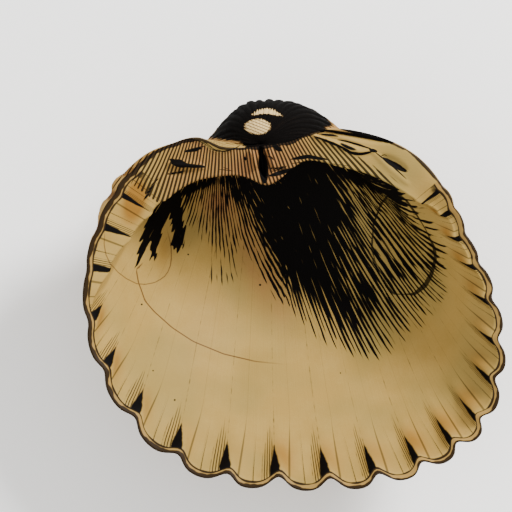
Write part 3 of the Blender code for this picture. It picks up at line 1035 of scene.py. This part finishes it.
# %% Where a point of the skin lies
class Skin:
    """The masks, the places and the common noises of the valve's surface."""

    def __init__(self, tree):
        self.tree = tree
        self.mask = {name: Flow(tree, read_attribute(tree, name)) for name in PAINT}
        place = tree.nodes.new("ShaderNodeTexCoord")
        mapping = tree.nodes.new("ShaderNodeMapping")
        mapping.vector_type = "TEXTURE"
        mapping.inputs["Location"].default_value = [value * MM for value in BEAK_PLACE]
        mapping.inputs["Rotation"].default_value = lay.to_euler("XYZ")
        mapping.inputs["Scale"].default_value = (MM, MM, MM)
        tree.links.new(place.outputs["Object"], mapping.inputs["Vector"])
        self.plane = mapping.outputs[0]
        self.x, self.y = split(tree, self.plane)[:2]
        ring = read_attribute(tree, "ring", "Vector")
        self.ring_x, self.ring_y, self.turn = split(tree, ring)
        self.mottle = noise(tree, self.plane, 0.16, 4.0, 0.6).ease(0.35, 0.65)
        self.grain = noise(tree, self.plane, 5.0, 3.0, 0.7)
        self.wobble = noise(tree, self.plane, 0.9, 2.0, 0.6)
        self.unsteady = noise(tree, self.plane, 0.45, 2.0, 0.6).ease(0.3, 0.7)

    def growth_noise(self, around, along, detail=2.0, roughness=0.6):
        """Noise that follows the growth, around the ring and along the turn."""
        across = (self.ring_x * around, self.ring_y * around)
        where = combine(self.tree, *across, self.turn * along)
        return noise(self.tree, where, 1.0, detail, roughness)


print("the shader reads", len(PAINT), "masks")

# %% [markdown]
# Streaks are a wave whose crests fan out from a point. Where the wave stands
# higher than the mask's density, the painted shade leaves the surface bare. On
# the front half the fan starts at a fixed point, and on the hind half the streaks
# follow the growth of the wall. The hatching of the hinge plate, painted shade as
# well, is made the same way.

# %% Streaks of the painted shade, hatching of the hinge
SHADE_FAN = (-4.6, 4.5)
SHADE_SPACING = 1.6
SHADE_LEAN = 0.34
LEAN_FROM = -7.8
LEAN_REACH = 7.0
LEAN_PIVOT = -12.0
GROWN_LINES = 212.0
GROWN_TWIST = 0.45
STREAK_DEPTH = 0.75
LOOSE_ENDS = 0.75
PLATE_FAN = (-4.3, 14.6)
PLATE_SPACING = 1.3


def fan(skin, centre, spacing_degrees, lean=0.0):
    """Fine lines fanning out from a point: a wave across them, and their breaks."""
    east, south = skin.x - centre[0], centre[1] - skin.y
    spread = east.math("ARCTAN2", south)
    far = (east * east + south * south).math("SQRT")
    shake_place = combine(skin.tree, spread * 9.0, far * 0.25, centre[0])
    shake = noise(skin.tree, shake_place, 1.0, 1.0, 0.5)
    phase = spread * (360.0 / spacing_degrees) + shake * 5.0
    if lean:
        reached = (skin.x - LEAN_FROM).math("MAXIMUM", 0.0).math("MINIMUM", LEAN_REACH)
        phase = phase + reached * (skin.y - LEAN_PIVOT) * lean
    wave = phase.math("COSINE") * 0.5 + 0.5
    break_place = combine(skin.tree, phase * (0.5 / math.pi), far * 0.3, centre[1])
    return wave, noise(skin.tree, break_place, 1.0, 2.0, 0.6).ease(0.3, 0.7)


def grown_lines(skin):
    """The same for lines that follow the growth of the wall."""
    angle = skin.ring_x.math("ARCTAN2", skin.ring_y) - skin.turn * GROWN_TWIST
    across = (angle.math("SINE") * 30.0, angle.math("COSINE") * 30.0)
    breaks = noise(skin.tree, combine(skin.tree, *across, skin.turn * 5.0), 1.0, 2.0, 0.6)
    phase = angle * GROWN_LINES + skin.growth_noise(7.0, 2.0, 1.0, 0.5) * 6.0
    from_beak = (skin.x * skin.x + skin.y * skin.y).math("SQRT")
    crowded = skin.x.ease(12.5, 14.5) * skin.y.ease(-17.0, -13.0)
    crowded = (1.0 - from_beak.ease(12.0, 14.0)).math("MAXIMUM", crowded)
    many, few = phase.math("COSINE"), (phase * 0.5).math("COSINE")
    return (many + (few - many) * crowded) * 0.5 + 0.5, breaks.ease(0.3, 0.7)


def hollow_shade_ink(skin):
    """The painted shade of the hollow, running out in streaks."""
    front_wave, front_breaks = fan(skin, SHADE_FAN, SHADE_SPACING, SHADE_LEAN)
    hind_wave, hind_breaks = grown_lines(skin)
    hind_half = skin.x.ease(1.5, 5.0)
    wave = front_wave + (hind_wave - front_wave) * hind_half
    breaks = front_breaks + (hind_breaks - front_breaks) * hind_half
    density = skin.mask["hollow_shade"]
    loose = (breaks - 0.5) * LOOSE_ENDS * density.ease(0.0, 0.25)
    return (density + loose - wave * STREAK_DEPTH - 0.14).ease(-0.08, 0.12)


def hinge_hatch_shade(skin):
    """Fine dark lines of painted shade across the hinge plate."""
    wave, breaks = fan(skin, PLATE_FAN, PLATE_SPACING)
    density = skin.mask["hatch_shade"]
    return (density + (breaks - 0.5) * 0.2 * density - wave * 0.8 - 0.1).ease(-0.12, 0.16)


print("a streak every", SHADE_SPACING, "degrees, a hatch line every", PLATE_SPACING)

# %% [markdown]
# The black of the beak ends in a fringe along its ribs. The larger pale patch, a
# painted highlight that also reads as wear, is crossed by a few hatch lines of
# painted shade, and the crescent above it has a toothed border.

# %% The beak: painted highlights and black
PALE_PATCH_SPLIT = 3.3
HATCHED_BELOW = 2.95


def beak_paint(skin):
    """The pale patches of the beak, painted highlights that read as wear, and the black around
    them, partly painted shade.
    """
    fringe_lines = skin.growth_noise(34.0, 1.2).ease(0.32, 0.68)
    jagged = skin.growth_noise(22.0, 2.0) - 0.5
    teeth = (skin.x * 21.0).math("COSINE") * 0.5 + 0.5
    teeth = teeth * (skin.y - PALE_PATCH_SPLIT).ease(0.0, 0.5)
    hatch_lines = ((skin.x * 0.4 + skin.y) * 17.0).math("COSINE").ease(0.55, 0.95)
    hatch_lines = hatch_lines * (HATCHED_BELOW - skin.y).ease(0.0, 0.1)
    worn_highlight_here = (skin.mask["worn_highlight"] + jagged * 1.3 - teeth * 0.55).ease(-0.02, 0.2)
    worn_highlight_here = worn_highlight_here * (1.0 - hatch_lines * 0.75)
    black = (skin.mask["beak_ink"] - fringe_lines * 0.7 - 0.12).ease(-0.05, 0.25)
    return worn_highlight_here, black * (1.0 - worn_highlight_here)


print("the worn patches part at y =", PALE_PATCH_SPLIT, "mm")

# %% [markdown]
# The inside of the shell is a warm tan with a little mottling, greyer in
# patches, ochre where the masks say so, and pink and olive where they tint the
# painted shade. The outside is chalky, tan on the backs of the ribs, with painted
# shade in the grooves between them and brown bands where growth slowed. The
# tints are laid one over the other, the way a glaze is.

# %% Colours of the inside and the outside
TAN = (0.28, 0.175, 0.043)
PALE_TAN = (0.325, 0.213, 0.06)
GREY_TAN = (0.21, 0.15, 0.043)
SHADE_PINK = (0.235, 0.10, 0.036)
OCHRE = (0.2, 0.095, 0.016)
OLIVE = (0.23, 0.175, 0.05)
RIM_TAN = (0.22, 0.125, 0.035)
RIB_TAN = (0.33, 0.21, 0.068)
BAND_BROWN = (0.22, 0.09, 0.024)
BROWN = (0.06, 0.022, 0.008)
BEAK_ORANGE = (0.17, 0.07, 0.018)
PALE_WORN_AND_HIGHLIGHT = (0.50, 0.35, 0.15)
WALL_LINE = 0.78


def inside_colour(skin):
    """The ground colour of the hollow, the hinge plate and the edge."""
    mask = skin.mask
    clouds = noise(skin.tree, skin.plane, 0.09, 2.0, 0.5).ease(0.42, 0.68)
    on_wall = (WALL_LINE - mask["edge_far"]).ease(-0.1, 0.15) * mask["wall"]
    return lay_tints(skin.tree, TAN, (
        (skin.mottle * 0.6 + (skin.grain - 0.5), PALE_TAN),
        (clouds * 0.6, GREY_TAN),
        # Olive and pink are tints of the painted shade.
        (mask["olive"] * 0.45, OLIVE),
        (mask["shade_blush"] * (0.4 + 0.45 * skin.mottle), SHADE_PINK),
        (mask["ochre"] * 0.85, OCHRE),
        (on_wall * 0.6, RIM_TAN),
    ))


def outside_colour(skin, worn_highlight_here):
    """The ground colour of the ribbed back."""
    mask = skin.mask
    bands = skin.growth_noise(0.4, 9.0, 3.0).ease(0.48, 0.62)
    # Painted shade darkens the grooves between the ribs, fading towards the beak.
    groove_shade = (1.0 - mask["rib_back"]).ease(0.3, 0.95) * mask["wall"] * 0.85
    return lay_tints(skin.tree, RIB_TAN, (
        (skin.mottle * 0.5 + (skin.grain - 0.5) * 0.8, PALE_TAN),
        (bands * 0.55, BAND_BROWN),
        (mask["scales"].ease(0.15, 0.7) * 0.6, PALE_WORN_AND_HIGHLIGHT),
        (mask["stop_lines"] * (0.25 + 0.5 * skin.grain), BAND_BROWN),
        (groove_shade * (1.0 - skin.turn.ease(0.8, 1.8)), BROWN),
        # On the outside ochre tints the painted shade of the front bulge.
        (mask["ochre"] * 0.6, OCHRE),
        (mask["beak_tint"] * 0.6, BEAK_ORANGE),
        # The beak's pale patches are painted highlight.
        (worn_highlight_here * 0.95, PALE_WORN_AND_HIGHLIGHT),
    ))


print("ground colour inside", TAN, "and outside", RIB_TAN)

# %% [markdown]
# Thin lines are worked out here rather than modelled. Two run along the edge,
# one around each scar and one along the mantle's old border. The short ones on
# the hinge plate are shallow arcs: start, end, sag and half width, all in
# millimetres. A few dark specks lie in the hollow.

# %% Outlines, scars and small marks
EDGE_LINE = 0.08
SPECKS = (
    (-8.8, -13.2, 0.12), (-14.3, -19.2, 0.12), (-12.9, -27.1, 0.1), (-10.3, -30.6, 0.13),
    (-0.1, -16.9, 0.13), (9.6, -27.5, 0.09),
)
THIN_LINES = (
    ((6.3, 2.95), (16.0, 0.05), -0.05, 0.36),
    ((6.5, 1.62), (15.6, -0.02), 0.16, 0.2),
    ((7.0, 1.08), (9.2, 0.82), 0.0, 0.15),
    ((6.2, 0.8), (10.7, -1.05), 0.1, 0.17),
    ((9.6, -0.7), (13.3, -0.95), -0.45, 0.2),
    ((9.0, 0.42), (13.6, -0.95), 0.15, 0.13),
    ((12.8, -0.8), (13.8, -1.0), 0.0, 0.22),
    ((13.3, -0.9), (17.3, -4.3), 0.1, 0.11),
    ((14.1, -1.7), (15.0, -1.6), 0.25, 0.07),
    ((-6.4, -0.5), (-2.3, -0.15), -0.64, 0.08),
    ((-9.8, 0.2), (-5.8, -0.75), 0.62, 0.07),
    ((3.3, -2.0), (6.2, -1.7), 0.1, 0.09),
    ((3.5, -2.45), (5.5, -2.2), 0.0, 0.07),
    ((6.6, -2.0), (8.3, -2.1), 0.15, 0.07),
    ((8.2, -2.4), (10.8, -2.8), 0.0, 0.05),
    ((1.0, -3.8), (3.4, -3.1), 0.0, 0.08),
    ((1.2, -3.4), (3.0, -2.85), 0.0, 0.06),
    ((-5.1, -3.1), (-3.2, -3.3), 0.0, 0.06),
    ((-4.5, -2.85), (-3.7, -3.15), 0.0, 0.05),
)


def line_at(distance, half_width, feather):
    """1 where a distance is near zero, and 0 beyond the half width."""
    return 1.0 - (distance.math("ABSOLUTE") - half_width).ease(0.0, feather)


def thin_line(x, y, start, end, sag, half_width):
    """A line along a shallow arc, thin at both ends. It runs from left to right."""
    along = (x - start[0]) * (1.0 / (end[0] - start[0]))
    hump = (along * (1.0 - along) * 4.0).math("MAXIMUM", 0.0)
    middle = start[1] + along * (end[1] - start[1]) + hump * sag
    lean = math.cos(math.atan2(end[1] - start[1], end[0] - start[0]))
    away = (y - middle).math("ABSOLUTE") * lean
    return (hump.math("SQRT") * half_width - away).ease(-0.015, 0.035)


def edge_outline(skin):
    """The dark outline of the edge, and the line along the inside of its wall."""
    far = skin.mask["edge_far"]
    thick = skin.unsteady * 0.3 + skin.mask["front_side"] * 0.16 + 0.06
    outer = line_at(far - EDGE_LINE, thick, 0.12)
    inner = line_at(far - WALL_LINE, skin.unsteady * 0.11, 0.1)
    return outer.math("MAXIMUM", inner * skin.mask["wall"]) * 0.95


def scar_lines(skin):
    """The dark line of the hind scar, and the faint ones of the front."""
    bold = skin.x.ease(18.0, 20.0) * (-11.0 - skin.y).ease(0.0, 3.0) * 0.14
    hind = line_at(skin.mask["hind_scar"], skin.unsteady * 0.14 + bold, 0.1)
    mantle = line_at(skin.mask["pallial"], 0.03, 0.08) * skin.mask["pallial_fade"]
    front = line_at(skin.mask["front_scar"], 0.02, 0.07) * (-9.5 - skin.y).ease(0.0, 3.0)
    return hind * 0.9, (mantle * 0.85).math("MAXIMUM", front * 0.75)


def small_marks(skin):
    """The marks of the hinge, which are painted shadow, the thin lines and the specks."""
    shake = skin.wobble - 0.5
    marks = (skin.mask["mark_depth"] + shake * 0.16).ease(-0.03, 0.07)
    shaky = skin.y + shake * 0.12
    for arc in THIN_LINES:
        marks = marks.math("MAXIMUM", thin_line(skin.x, shaky, *arc) * skin.mask["on_top"])
    for spot_x, spot_y, spot_size in SPECKS:
        east, north = skin.x - spot_x, skin.y - spot_y
        away = (east * east + north * north).math("SQRT")
        marks = marks.math("MAXIMUM", (spot_size - away + shake * 0.1).ease(-0.02, 0.04))
    return marks * (1.0 - skin.mask["outside"] * (1.0 - skin.mask["on_top"]))


print(len(THIN_LINES), "thin lines and", len(SPECKS), "specks")

# %% [markdown]
# Each flute of the edge holds a dark wedge of painted shade on its steep side and
# fine lines of painted shade on its flank. Growth lines on the outside and striae
# on the inside are finer than the mesh can hold, so they are bump, a few
# hundredths of a millimetre deep.

# %% Flutes and fine relief
WEDGE_REACH = 4.6
FLANK_REACH = (2.0, 8.0)
RELIEF_STRENGTH = 0.55
RELIEF_DEPTH = 0.08


def flute_shade(skin):
    """Painted shade in the flutes: dark wedges, and the fine lines beside them."""
    beside, shake = skin.mask["beside_notch"], skin.wobble - 0.5
    inward = skin.mask["edge_far"] - WALL_LINE
    reach = 1.0 - inward.ease(0.0, WEDGE_REACH)
    long_reach = 1.0 - inward.ease(*FLANK_REACH)
    shade_wedge = reach * 0.1 + shake * 0.05 - (beside - 0.09).math("ABSOLUTE")
    hairs = (beside * 130.0 + skin.wobble * 2.0).math("COSINE").ease(-0.1, 0.7)
    flank_shade = long_reach * 0.14 - (beside - 0.2).math("ABSOLUTE") + shake * 0.08
    flank_shade = flank_shade.ease(-0.01, 0.04) * hairs * (0.35 + 0.5 * long_reach)
    thin = long_reach * 0.022 - (beside + 0.2 + inward * 0.012).math("ABSOLUTE")
    marks = shade_wedge.ease(-0.012, 0.02).math("MAXIMUM", flank_shade)
    marks = marks.math("MAXIMUM", thin.ease(-0.01, 0.01) * 0.6)
    return marks * skin.mask["wall"] * (1.0 - skin.mask["outside"]) * inward.ease(-0.05, 0.1)


def fine_relief(skin):
    """Growth lines outside and striae inside, as a bumped normal."""
    outside = skin.mask["outside"]
    relief = outside * skin.growth_noise(3.0, 70.0) * 0.8 + skin.grain * 0.25
    relief = relief + (1.0 - outside) * skin.growth_noise(60.0, 1.5) * 0.35
    bump = skin.tree.nodes.new("ShaderNodeBump")
    bump.inputs["Strength"].default_value = RELIEF_STRENGTH
    bump.inputs["Distance"].default_value = RELIEF_DEPTH * MM
    skin.tree.links.new(relief.socket, bump.inputs["Height"])
    return bump.outputs[0]


print("wedges reach", WEDGE_REACH, "mm in from the edge")

# %% [markdown]
# Now the finish is put together: ground colours first, then the faint lines, the
# outline of the edge, and the black over everything, which holds the painted
# shade of the hollow, the hinge, the flutes and the beak along with the dark
# marks. The inside is silkier than the outside, so roughness follows the same
# masks. The shine itself is one fixed number on the shader's own socket.

# %% The shell's look
DARK = (0.0012, 0.0008, 0.0006)
EDGE_BROWN = (0.007, 0.0035, 0.002)
SHINE = 0.05


def shell_shader(material):
    """Colour, shine and fine relief of the valve."""
    material.use_nodes = True
    tree = material.node_tree
    surface = tree.nodes["Principled BSDF"]
    skin = Skin(tree)
    worn_highlight_here, beak_black = beak_paint(skin)
    hind_scar_line, faint_lines = scar_lines(skin)
    black = hinge_hatch_shade(skin) * 0.92
    others = (hollow_shade_ink(skin), small_marks(skin), flute_shade(skin), beak_black, hind_scar_line)
    for more in others:
        black = black.math("MAXIMUM", more)
    outside = skin.mask["outside"]
    colour = blend_colour(tree, outside, inside_colour(skin), outside_colour(skin, worn_highlight_here))
    colour = lay_tints(tree, colour, (
        (skin.mask["pale_lip"] * 0.85, PALE_TAN),
        (faint_lines, BROWN),
        (edge_outline(skin), EDGE_BROWN),
        (black, DARK),
    ))
    rough = 0.5 + outside * 0.2 + (skin.grain - 0.5) * 0.2 + black * 0.2
    tree.links.new(colour, surface.inputs["Base Color"])
    tree.links.new(rough.socket, surface.inputs["Roughness"])
    tree.links.new(fine_relief(skin), surface.inputs["Normal"])
    surface.inputs["Specular IOR Level"].default_value = SHINE
    return len(tree.nodes)


print(shell_shader(shell_look), "nodes in the shell's material")

# %% [markdown]
# A pale matt table catches the shadow. It isn't part of the shell.

# %% The table
TABLE_WIDTH = 1.6
TABLE_WHITE = (0.93, 0.927, 0.915, 1.0)


def pale_table(width):
    """A plain pale sheet under the valve."""
    half = width / 2.0
    corners = [(-half, -half, 0.0), (half, -half, 0.0), (half, half, 0.0), (-half, half, 0.0)]
    sheet = bpy.data.meshes.new("table")
    sheet.from_pydata(corners, [], [(0, 1, 2, 3)])
    look = bpy.data.materials.new("table_paint")
    look.use_nodes = True
    paint = look.node_tree.nodes["Principled BSDF"]
    paint.inputs["Base Color"].default_value = TABLE_WHITE
    paint.inputs["Roughness"].default_value = 0.9
    paint.inputs["Specular IOR Level"].default_value = 0.1
    sheet.materials.append(look)
    made = bpy.data.objects.new("table", sheet)
    bpy.context.scene.collection.objects.link(made)
    return made


pale_table(TABLE_WIDTH)
print("table is ready")

# %% [markdown]
# The light comes from the upper right, as the dark side of the hollow tells. A
# large soft lamp gives that direction, a weaker one opens the shadows, and the
# pale sky does the rest. Each lamp has a place, an aim, a side and a power.

# %% Light
LAMPS = {
    "key_lamp": ((0.24, 0.22, 0.26), (0.0, 0.0, 0.005), 0.12, 4.0),
    "fill_lamp": ((-0.35, -0.25, 0.45), (0.0, 0.0, 0.0), 0.5, 1.6),
}
SKY_WHITE = (1.0, 0.99, 0.97, 1.0)
SKY_STRENGTH = 1.2


def soft_lamp(name, place, aim, side, power):
    """A square soft lamp at a place, aimed at a point."""
    data = bpy.data.lights.new(name, "AREA")
    data.size = side
    data.energy = power
    lamp = bpy.data.objects.new(name, data)
    lamp.location = place
    lamp.rotation_euler = (Vector(aim) - Vector(place)).to_track_quat("-Z", "Y").to_euler()
    bpy.context.scene.collection.objects.link(lamp)


for name, settings in LAMPS.items():
    soft_lamp(name, *settings)
world = bpy.data.worlds.new("pale_sky")
world.use_nodes = True
sky = world.node_tree.nodes["Background"]
sky.inputs["Color"].default_value = SKY_WHITE
sky.inputs["Strength"].default_value = SKY_STRENGTH
bpy.context.scene.world = world
print(len(LAMPS), "lamps and a pale sky")

# %% [markdown]
# The camera looks straight down on the plane of the edge from far away, so
# that the outline shows without distortion. The picture is 60.7 mm wide there.

# %% Camera
PICTURE_WIDTH = 60.67
PICTURE_MIDDLE = (-0.59, -13.39)
CAMERA_FAR = 600.0
SENSOR_WIDTH = 36.0
CLIP_END = 10.0
camera_data = bpy.data.cameras.new("camera")
camera_data.sensor_width = SENSOR_WIDTH
camera_data.lens = SENSOR_WIDTH * CAMERA_FAR / PICTURE_WIDTH
camera_data.clip_end = CLIP_END
camera = bpy.data.objects.new("camera", camera_data)
stand = Vector((*PICTURE_MIDDLE, CAMERA_FAR)) * MM
camera.matrix_world = to_rest @ Matrix.Translation(stand)
bpy.context.scene.collection.objects.link(camera)
bpy.context.scene.camera = camera
print("lens", round(camera_data.lens), "mm")

# %% Finish
bpy.context.view_layer.update()
